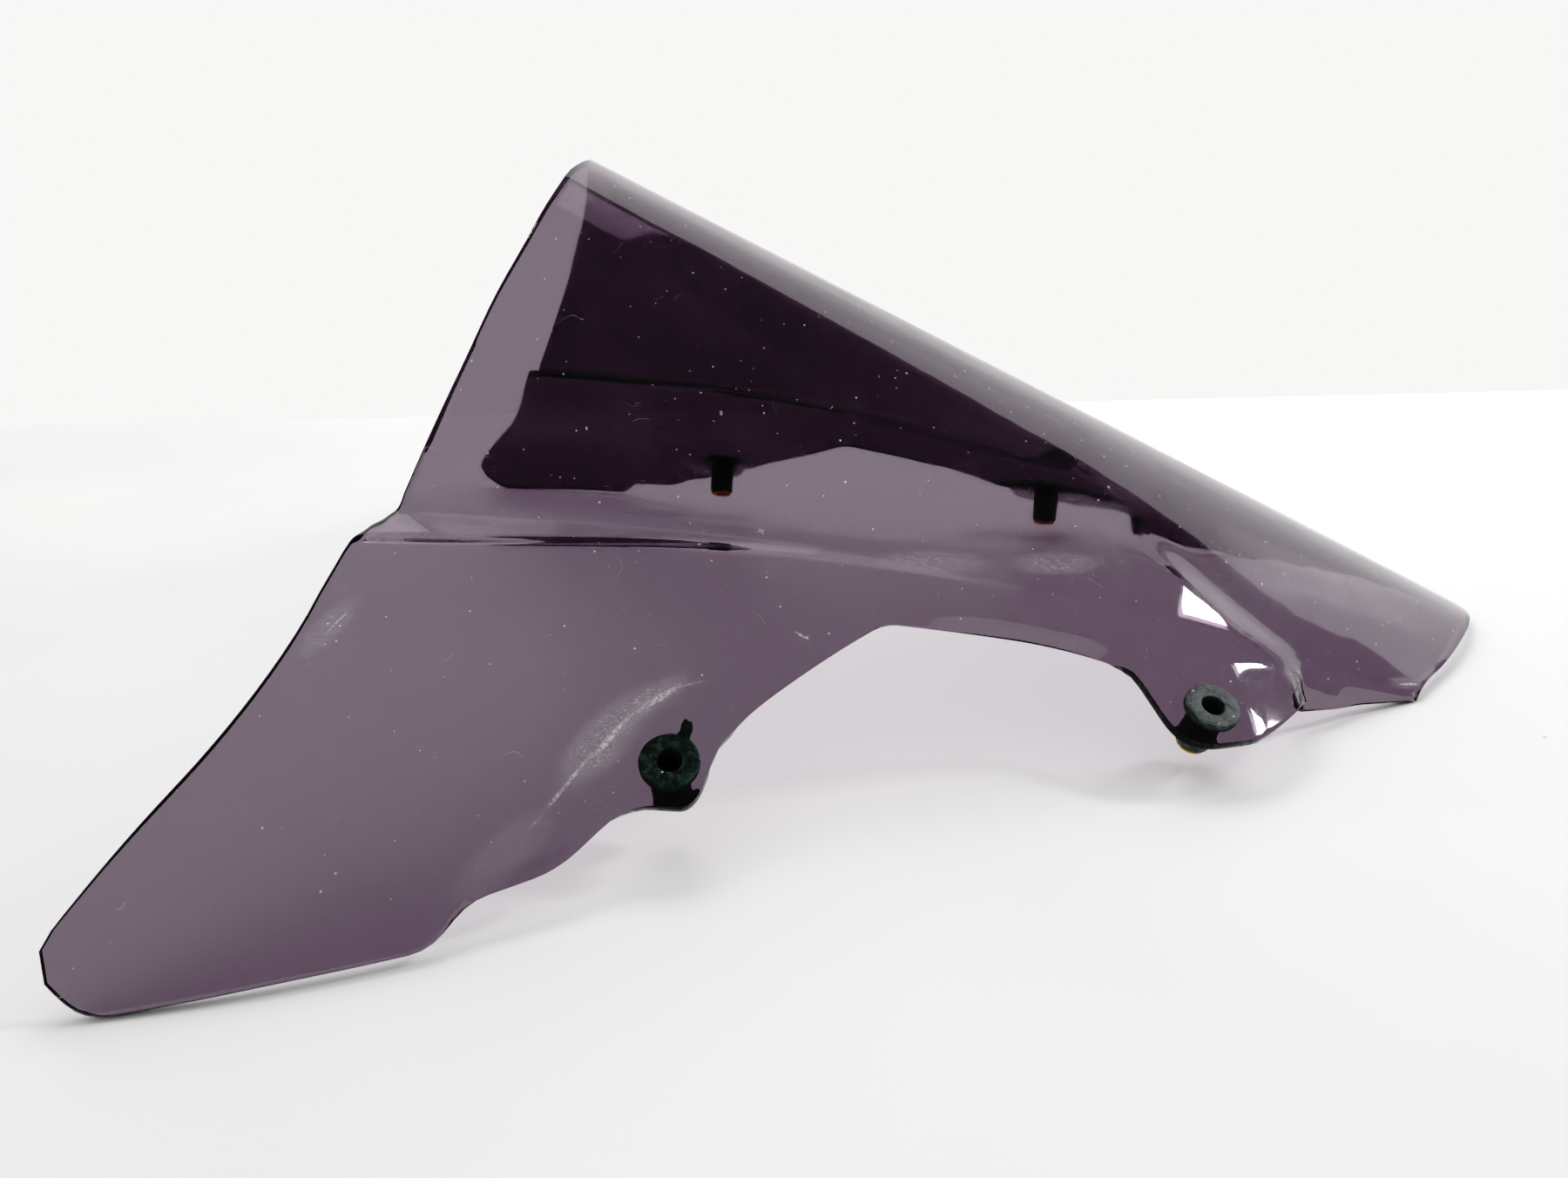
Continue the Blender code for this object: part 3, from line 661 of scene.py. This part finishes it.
def added(tree, values):
    total = values[0]
    for value in values[1:]:
        total = maths(tree, "ADD", total, value)
    return total


def bumped(tree, height, distance, strength=1.0):
    node = tree.nodes.new("ShaderNodeBump")
    tree.links.new(height, node.inputs["Height"])
    node.inputs["Distance"].default_value = distance
    node.inputs["Strength"].default_value = strength
    return node.outputs["Normal"]


def colour_mix(tree, share, first, second):
    node = tree.nodes.new("ShaderNodeMix")
    node.data_type = "RGBA"
    socket_or_value(tree, node.inputs["Factor"], share)
    socket_or_value(tree, node.inputs["A"], first)
    socket_or_value(tree, node.inputs["B"], second)
    return node.outputs["Result"]


def shader_mix(tree, share, first, second):
    node = tree.nodes.new("ShaderNodeMixShader")
    socket_or_value(tree, node.inputs[0], share)
    tree.links.new(first, node.inputs[1])
    tree.links.new(second, node.inputs[2])
    return node.outputs[0]


def new_material(name):
    material = bpy.data.materials.new(name)
    material.use_nodes = True
    tree = material.node_tree
    return material, tree, tree.nodes["Principled BSDF"], tree.nodes["Material Output"]


def acrylic_material():
    """Smoke-tinted acrylic: each face tints and mirrors, and carries dust, fibres and scuffs."""
    material, tree, dust, output = new_material("smoke_acrylic_fine")
    weight = tree.nodes.new("ShaderNodeLayerWeight")
    weight.inputs["Blend"].default_value = 0.5
    facing = weight.outputs["Facing"]
    cosine = maths(tree, "SUBTRACT", 1.0, facing)
    # Light bends towards the normal inside the sheet, so its way through grows only this much.
    bent = maths(tree, "MULTIPLY_ADD", maths(tree, "MULTIPLY", cosine, cosine), 0.45, 0.55)
    way = maths(tree, "DIVIDE", 1.0, maths(tree, "SQRT", bent))
    clear = tree.nodes.new("ShaderNodeBsdfTransparent")
    tint = tree.nodes.new("ShaderNodeGamma")
    tint.inputs["Color"].default_value = (*HALF_TINT, 1)
    tree.links.new(maths(tree, "MULTIPLY", way, LAMP_TINT), tint.inputs["Gamma"])
    tree.links.new(tint.outputs[0], clear.inputs["Color"])

    scratch_lines = added(
        tree,
        [
            streaks(tree, (0.2, 0.3, 0.5), 9.0, 0.35, 0.66),
            streaks(tree, (0.4, -0.2, -0.7), 7.0, 0.3, 0.67, (31, 7, 3)),
        ],
    )
    scuffed = added(
        tree,
        [maths(tree, "MULTIPLY", stroke(tree, a, b, wide), much) for a, b, wide, much in SCUFFS],
    )
    frost = maths(tree, "MULTIPLY", scuffed, noise(tree, millimetres(tree), 0.45, 4.0, 0.7))
    ragged = remapped(tree, noise(tree, millimetres(tree), 1.3, 3.0, 0.7), 0.38, 0.62)
    cuts = added(
        tree,
        [maths(tree, "MULTIPLY", stroke(tree, a, b, wide), much) for a, b, wide, much in SCRATCHES],
    )
    cuts = maths(tree, "MULTIPLY", cuts, maths(tree, "MULTIPLY_ADD", ragged, 0.75, 0.25))
    scuff_lines = maths(tree, "MULTIPLY", scuffed, streaks(tree, (0, 0.5, 0.4), 6.0, 0.4, 0.52))
    smudge = remapped(tree, noise(tree, millimetres(tree), 0.03, 3.0, 0.6, 0.8), 0.42, 0.75)
    haze = added(
        tree,
        [
            maths(tree, "MULTIPLY", specks(tree, 3.2, 0.22, 0.45, (0, 0, 0)), 0.60),
            maths(tree, "MULTIPLY", specks(tree, 11.0, 0.34, 0.40, (5, 9, 2)), 0.80),
            maths(tree, "MULTIPLY", fibres(tree, 9.0, 0.0022, 0.74, (3, 8, 1)), 0.22),
            maths(tree, "MULTIPLY", scratch_lines, 0.05),
            maths(tree, "MULTIPLY", frost, 0.17),
            maths(tree, "MULTIPLY", scuff_lines, 0.20),
            maths(tree, "MULTIPLY", cuts, 0.55),
            maths(tree, "MULTIPLY", smudge, 0.008),
            0.006,
        ],
    )
    haze = maths(tree, "MINIMUM", haze, 0.85)

    glass = tree.nodes.new("ShaderNodeBsdfPrincipled")
    glass.inputs["Base Color"].default_value = (*[v * v for v in HALF_TINT], 1)
    glass.inputs["IOR"].default_value = REFRACTION
    glass.inputs["Transmission Weight"].default_value = 1.0
    frosted = maths(tree, "MULTIPLY", frost, 0.25)
    smeared = maths(tree, "MULTIPLY", smudge, 0.02)
    dull = added(tree, [GLOSS_ROUGHNESS, frosted, smeared])
    tree.links.new(dull, glass.inputs["Roughness"])
    ripple = noise(tree, millimetres(tree), 0.05, 1.0)
    grain = maths(tree, "MULTIPLY", scratch_lines, 0.02)
    height = added(tree, [ripple, grain, maths(tree, "MULTIPLY", scuff_lines, 0.05)])
    tree.links.new(bumped(tree, height, 0.0006, 0.2), glass.inputs["Normal"])
    path = tree.nodes.new("ShaderNodeLightPath")
    lamp_ray = maths(tree, "MAXIMUM", path.outputs["Is Shadow Ray"], path.outputs["Is Diffuse Ray"])
    glassy = shader_mix(tree, lamp_ray, glass.outputs[0], clear.outputs[0])

    dust.inputs["Base Color"].default_value = (0.80, 0.78, 0.80, 1)
    dust.inputs["Roughness"].default_value = 0.75
    dust.inputs["Specular IOR Level"].default_value = 0.15
    whole = shader_mix(tree, haze, glassy, dust.outputs[0])
    tree.links.new(whole, output.inputs["Surface"])
    return material


def edge_material():
    """The cut edge of the sheet: dark, because light runs a long way through the tint."""
    material, tree, shader, output = new_material("acrylic_edge")
    wear = remapped(tree, noise(tree, millimetres(tree), 0.6, 4.0, 0.65), 0.5, 0.75)
    dusty = specks(tree, 2.5, 0.3, 0.4, (1, 2, 3))
    colour = colour_mix(tree, wear, (0.012, 0.008, 0.014, 1), (0.05, 0.04, 0.055, 1))
    colour = colour_mix(tree, maths(tree, "MULTIPLY", dusty, 0.6), colour, (0.7, 0.68, 0.7, 1))
    tree.links.new(colour, shader.inputs["Base Color"])
    tree.links.new(remapped(tree, wear, 0, 1, 0.12, 0.4), shader.inputs["Roughness"])
    tree.links.new(bumped(tree, wear, 0.0002), shader.inputs["Normal"])
    return material


def rubber_material(name, dark, light, roughness, dust_share):
    """Moulded rubber, mottled, with pale dust in its pores."""
    material, tree, shader, output = new_material(name)
    mottle = noise(tree, millimetres(tree), 0.5, 4.0, 0.65)
    pores = noise(tree, millimetres(tree), 4.0, 3.0, 0.7)
    colour = colour_mix(tree, remapped(tree, mottle, 0.35, 0.65), dark, light)
    bloom = maths(tree, "MULTIPLY", remapped(tree, pores, 0.55, 0.75), dust_share)
    colour = colour_mix(tree, bloom, colour, (0.42, 0.44, 0.43, 1))
    speck = specks(tree, 2.2, 0.25, 0.35, (4, 1, 6))
    colour = colour_mix(tree, maths(tree, "MULTIPLY", speck, 0.6), colour, (0.65, 0.66, 0.64, 1))
    tree.links.new(colour, shader.inputs["Base Color"])
    rough = remapped(tree, mottle, 0.3, 0.7, roughness - 0.08, roughness + 0.1)
    tree.links.new(rough, shader.inputs["Roughness"])
    shader.inputs["Specular IOR Level"].default_value = 0.4
    pitted = maths(tree, "MULTIPLY", pores, 0.35)
    height = added(tree, [maths(tree, "MULTIPLY", mottle, 1.0), pitted])
    tree.links.new(bumped(tree, height, 0.00025, 0.7), shader.inputs["Normal"])
    return material


def brass_material():
    """Turned brass, a little tarnished."""
    material, tree, shader, output = new_material("brass_turned")
    stain = noise(tree, millimetres(tree), 0.7, 4.0, 0.6)
    lines = noise(tree, millimetres(tree, (0.4, 0.4, 9.0)), 1.0, 2.0)
    tarnish = remapped(tree, stain, 0.4, 0.7)
    colour = colour_mix(tree, tarnish, BRASS_BRIGHT, BRASS_DULL)
    tree.links.new(colour, shader.inputs["Base Color"])
    shader.inputs["Metallic"].default_value = 1.0
    tree.links.new(remapped(tree, stain, 0.3, 0.7, 0.22, 0.45), shader.inputs["Roughness"])
    tree.links.new(bumped(tree, lines, 0.0001, 0.5), shader.inputs["Normal"])
    return material


def table_material():
    """White laminate with faint marks and a soft sheen."""
    material, tree, shader, output = new_material("table_laminate")
    cloud = noise(tree, millimetres(tree), 0.006, 3.0, 0.5)
    marks = maths(tree, "MULTIPLY", streaks(tree, (0, 0, 1.1), 26.0, 0.7, 0.72), 0.25)
    grime = maths(tree, "MULTIPLY", specks(tree, 40.0, 0.5, 0.4, (3, 3, 0)), 0.5)
    worn = remapped(tree, cloud, 0.35, 0.65)
    colour = colour_mix(tree, worn, TABLE_CLEAN, TABLE_WORN)
    colour = colour_mix(tree, added(tree, [marks, grime]), colour, (0.45, 0.42, 0.40, 1))
    tree.links.new(colour, shader.inputs["Base Color"])
    tree.links.new(remapped(tree, cloud, 0.3, 0.7, 0.28, 0.4), shader.inputs["Roughness"])
    shader.inputs["Specular IOR Level"].default_value = 0.3
    return material


def glow_material(name, colour, strength):
    material, tree, shader, output = new_material(name)
    tree.nodes.remove(shader)
    glow = tree.nodes.new("ShaderNodeEmission")
    glow.inputs["Color"].default_value = colour
    glow.inputs["Strength"].default_value = strength
    tree.links.new(glow.outputs[0], output.inputs["Surface"])
    return material


def linked(name, mesh, materials):
    piece = bpy.data.objects.new(name, mesh)
    bpy.context.scene.collection.objects.link(piece)
    mesh.materials.clear()
    for material in materials:
        mesh.materials.append(material)
    return piece


def flattened(piece, name):
    """The object's evaluated mesh, with its place in the vertices."""
    graph = bpy.context.evaluated_depsgraph_get()
    mesh = bpy.data.meshes.new_from_object(piece.evaluated_get(graph))
    mesh.name = name
    piece.modifiers.clear()
    piece.data = mesh
    return piece


def turned(name, profile, matrix, materials, close):
    """A piece turned round Z from (radius, height) in millimetres, then placed by matrix."""
    work = bmesh.new()
    rings = []
    for k in range(FINE_TURN):
        angle = 2 * np.pi * k / FINE_TURN
        along, up = np.cos(angle), np.sin(angle)
        ring = [work.verts.new((r * MM * along, r * MM * up, z * MM)) for r, z in profile]
        rings.append(ring)
    count = len(profile) if close else len(profile) - 1
    for k in range(FINE_TURN):
        here, there = rings[k], rings[(k + 1) % FINE_TURN]
        for i in range(count):
            j = (i + 1) % len(profile)
            work.faces.new((here[i], here[j], there[j], there[i]))
    bmesh.ops.recalc_face_normals(work, faces=work.faces)
    mesh = bpy.data.meshes.new(name)
    work.to_mesh(mesh)
    work.free()
    mesh.transform(matrix)
    mesh.shade_smooth()
    mesh.set_sharp_from_angle(angle=np.radians(SMOOTH_ANGLE))
    return linked(name, mesh, materials)


def arc(centre, radius, start, end, steps):
    """Points (radius, height) on an arc, angles in degrees from the outward direction."""
    angles = np.radians(np.linspace(start, end, steps))
    return [(centre[0] + radius * np.cos(a), centre[1] + radius * np.sin(a)) for a in angles]


def fine_rubber_profile():
    """The rubber's section with moulded radii, the seat plane at z = 0."""
    top = FLANGE_THICKNESS + GAP
    end = -BODY_LENGTH
    ledge = end + SOCKET_DEPTH
    rim = FLANGE_RADIUS - FLANGE_ROUND
    points = arc((BORE_RADIUS + BORE_ROUND, top - BORE_ROUND), BORE_ROUND, 180, 90, 5)
    points += arc((rim, top - FLANGE_ROUND), FLANGE_ROUND, 90, 0, 6)
    points += arc((rim + 0.3, GAP + 0.3), 0.3, 0, -90, 4)
    points += [(BODY_RADIUS, GAP)]
    points += arc((BODY_RADIUS - BODY_ROUND, end + BODY_ROUND), BODY_ROUND, 0, -90, 6)
    points += [(SOCKET_RADIUS, end), (SOCKET_RADIUS, ledge), (BORE_RADIUS, ledge)]
    return points


def fine_insert_profile():
    """The brass nut's section, its bore cut with a ring-like thread."""
    end = -BODY_LENGTH
    top = end + SOCKET_DEPTH - GAP
    rim_top = end - GAP
    bottom = rim_top - INSERT_RIM
    points = [
        (INSERT_RADIUS - INSERT_CHAMFER, top),
        (INSERT_RADIUS, top - INSERT_CHAMFER),
        (INSERT_RADIUS, rim_top),
        (INSERT_RIM_RADIUS, rim_top),
        (INSERT_RIM_RADIUS, bottom + INSERT_CHAMFER),
        (INSERT_RIM_RADIUS - INSERT_CHAMFER, bottom),
        (INSERT_BORE + INSERT_CHAMFER, bottom),
    ]
    turns = int((top - bottom - 2 * INSERT_CHAMFER) / THREAD_PITCH)
    low = bottom + INSERT_CHAMFER
    for k in range(turns):
        points.append((INSERT_BORE, low + k * THREAD_PITCH))
        points.append((INSERT_BORE + THREAD_DEPTH, low + (k + 0.5) * THREAD_PITCH))
    points.append((INSERT_BORE, low + turns * THREAD_PITCH))
    points.append((INSERT_BORE + INSERT_CHAMFER, top))
    return points


def nut_matrix(seat, side):
    """Puts the nut's Z axis on the normal of its seat."""
    centre, normal = nut_axis(seat, side)
    turn = Vector((0, 0, 1)).rotation_difference(Vector(normal)).to_matrix().to_4x4()
    return Matrix.Translation(Vector(centre + STAND) * MM) @ turn


def rod(name, radius, low, high, matrix):
    mesh = bpy.data.meshes.new(name)
    work = bmesh.new()
    bmesh.ops.create_cone(
        work,
        cap_ends=True,
        segments=FINE_TURN,
        radius1=radius * MM,
        radius2=radius * MM,
        depth=(high - low) * MM,
        matrix=Matrix.Translation((0, 0, (high + low) / 2 * MM)),
    )
    work.to_mesh(mesh)
    work.free()
    mesh.transform(matrix)
    return linked(name, mesh, [])


def fine_screen(seats, materials):
    """The shell on the fine grid, with its edges eased and its four holes cut."""
    points, quads = half_shell(FINE_UPPER, FINE_LOWER, FINE_SPACING, FINE_MOST, FINE_STEP)
    mesh = bpy.data.meshes.new("screen_shell")
    mesh.from_pydata(points.tolist(), [], quads)
    shell = linked("screen_shell", mesh, materials)
    mirror = shell.modifiers.new("mirror", "MIRROR")
    mirror.use_axis = (False, True, False)
    mirror.merge_threshold = FINE_MERGE
    wall = shell.modifiers.new("wall", "SOLIDIFY")
    wall.thickness = SHEET_THICKNESS * MM
    wall.offset = -1
    wall.material_offset_rim = 1
    ease = shell.modifiers.new("ease", "BEVEL")
    ease.width = EDGE_ROUND * MM
    ease.segments = 2
    ease.limit_method = "ANGLE"
    ease.angle_limit = np.radians(EDGE_ANGLE)
    cutters = []
    for name, matrix in seats.items():
        cutter = rod(name + "_hole", HOLE_RADIUS, -SEAT_CLEARANCE, SEAT_CLEARANCE, matrix)
        cut = shell.modifiers.new(cutter.name, "BOOLEAN")
        cut.operation = "DIFFERENCE"
        cut.solver = "EXACT"
        cut.object = cutter
        cutters.append(cutter)
    flattened(shell, "screen_shell")
    for cutter in cutters:
        bpy.data.objects.remove(cutter)
    shell.data.shade_smooth()
    shell.data.set_sharp_from_angle(angle=np.radians(SMOOTH_ANGLE))
    return shell


def torn_flap(matrix, materials):
    """A torn, curled strip of rubber on the rim of the weathered flange."""
    steps, across = 14, 5
    length, width, thickness = 6.2, 3.6, 0.7
    work = bmesh.new()
    layers = []
    for side in (0, 1):
        grid = []
        for i in range(steps + 1):
            t = i / steps
            reach = 5.2 + length * t * (1 - 0.25 * t)
            lift = 2.55 + 2.6 * np.sin(1.35 * t) * t + 0.25 * np.sin(9 * t)
            narrow = width * (1 - 0.45 * t**2) * (1 + 0.12 * np.sin(11 * t))
            row = []
            for j in range(across + 1):
                s = j / across - 0.5
                cup = 0.9 * (2 * s) ** 2 * t
                z = lift + cup - (thickness * (1 - 0.4 * t) if side else 0)
                row.append(work.verts.new((reach * MM, (s * narrow + 0.5 * t) * MM, z * MM)))
            grid.append(row)
        layers.append(grid)
    for layer in layers:
        for i in range(steps):
            for j in range(across):
                work.faces.new((layer[i][j], layer[i][j + 1], layer[i + 1][j + 1], layer[i + 1][j]))
    top, low = layers
    ring = [(i, 0) for i in range(steps + 1)] + [(steps, j) for j in range(1, across + 1)]
    ring += [(i, across) for i in range(steps - 1, -1, -1)]
    ring += [(0, j) for j in range(across - 1, 0, -1)]
    for k, (i, j) in enumerate(ring):
        m, n = ring[(k + 1) % len(ring)]
        work.faces.new((top[i][j], top[m][n], low[m][n], low[i][j]))
    bmesh.ops.recalc_face_normals(work, faces=work.faces)
    mesh = bpy.data.meshes.new("well_nut_torn_flap")
    work.to_mesh(mesh)
    work.free()
    mesh.transform(matrix @ Matrix.Rotation(np.radians(FLAP_TURN), 4, "Z"))
    mesh.shade_smooth()
    piece = linked("well_nut_torn_flap", mesh, materials)
    smooth = piece.modifiers.new("smooth", "SUBSURF")
    smooth.levels = 1
    smooth.render_levels = 1
    return piece


def make_camera():
    data = bpy.data.cameras.new("camera")
    data.lens = CAMERA_LENS
    data.sensor_width = 36
    camera = bpy.data.objects.new("camera", data)
    bpy.context.scene.collection.objects.link(camera)
    turn = Matrix((CAMERA_RIGHT, CAMERA_UP, CAMERA_BACK)).transposed().to_4x4()
    camera.matrix_world = Matrix.Translation(CAMERA_AT) @ turn
    bpy.context.scene.camera = camera


def flat_panel(name, corners, material):
    mesh = bpy.data.meshes.new(name)
    mesh.from_pydata(corners, [], [tuple(range(len(corners)))])
    panel = linked(name, mesh, [material])
    return panel


def make_stage():
    flat_panel(
        "table",
        [
            (-TABLE_REACH, -TABLE_REACH, 0),
            (TABLE_REACH, -TABLE_REACH, 0),
            (TABLE_REACH, TABLE_BACK, 0),
            (-TABLE_REACH, TABLE_BACK, 0),
        ],
        table_material(),
    )
    flat_panel(
        "backdrop",
        [
            (-WALL_REACH, WALL_AT, -0.6),
            (WALL_REACH, WALL_AT, -0.6),
            (WALL_REACH, WALL_AT, WALL_TOP_RIGHT),
            (-WALL_REACH, WALL_AT, WALL_TOP_LEFT),
        ],
        glow_material("backdrop_white", (1.0, 1.0, 0.99, 1), WALL_GLOW),
    )


def softbox(name, location, target, size, power, mirrored):
    data = bpy.data.lights.new(name, "AREA")
    data.shape = "RECTANGLE"
    data.size, data.size_y = size
    data.energy = power
    lamp = bpy.data.objects.new(name, data)
    bpy.context.scene.collection.objects.link(lamp)
    lamp.location = location
    aim = Vector(target) - Vector(location)
    lamp.rotation_euler = aim.to_track_quat("-Z", "Y").to_euler()
    lamp.visible_camera = False
    lamp.visible_glossy = mirrored
    return lamp


def make_world():
    """A dim room, with a bright surround where nothing else stands behind the table."""
    world = bpy.data.worlds.new("studio")
    bpy.context.scene.world = world
    world.use_nodes = True
    tree = world.node_tree
    back = tree.nodes["Background"]
    back.inputs["Color"].default_value = (1.0, 0.998, 0.99, 1)
    path = tree.nodes.new("ShaderNodeLightPath")
    seen = maths(tree, "MULTIPLY", path.outputs["Is Camera Ray"], WORLD_SEEN)
    lit = maths(tree, "MULTIPLY", path.outputs["Is Diffuse Ray"], WORLD_FILL)
    tree.links.new(added(tree, [seen, lit, WORLD_MIRRORED]), back.inputs["Strength"])


def deepened(view):
    """A camera's tone curve: the darkest tones fall off faster, the rest stay as they are."""
    view.use_curve_mapping = True
    for channel, tones in enumerate([TONES, GREEN_TONES, TONES]):
        for light, shown in tones:
            view.curve_mapping.curves[channel].points.new(light, shown)
    view.curve_mapping.update()


def main():
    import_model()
    scene = bpy.context.scene
    scene.view_settings.view_transform = "Standard"
    deepened(scene.view_settings)
    make_camera()
    make_stage()
    make_world()
    softbox("key", *KEY_LAMP, False)
    softbox("side", *SIDE_LAMP, True)

    seats = {
        "rear_right": nut_matrix(NUT_REAR, -1),
        "rear_left": nut_matrix(NUT_REAR, 1),
        "front_right": nut_matrix(NUT_FRONT, -1),
        "front_left": nut_matrix(NUT_FRONT, 1),
    }
    shell = fine_screen(seats, [acrylic_material(), edge_material()])
    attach(shell, "root")
    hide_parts("screen")

    weathered = rubber_material(
        "rubber_weathered_fine", (0.035, 0.045, 0.046, 1), (0.075, 0.092, 0.095, 1), 0.55, 0.30
    )
    grey = rubber_material(
        "rubber_grey_fine", (0.085, 0.085, 0.092, 1), (0.14, 0.14, 0.152, 1), 0.45, 0.25
    )
    rubbers = {"rear": (weathered, "rubber_weathered"), "front": (grey, "rubber_grey")}
    brass = brass_material()
    for name, matrix in seats.items():
        material, slot = rubbers[name.split("_")[0]]
        body = turned("rubber_" + name, fine_rubber_profile(), matrix, [material], True)
        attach(body, "root")
        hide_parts("well_nut_rubber_" + name)
        sleeve = turned("insert_" + name, fine_insert_profile(), matrix, [brass], True)
        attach(sleeve, "root")
        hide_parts("well_nut_insert_" + name)
    flap = torn_flap(seats["rear_right"], [weathered])
    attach(flap, "root")


main()
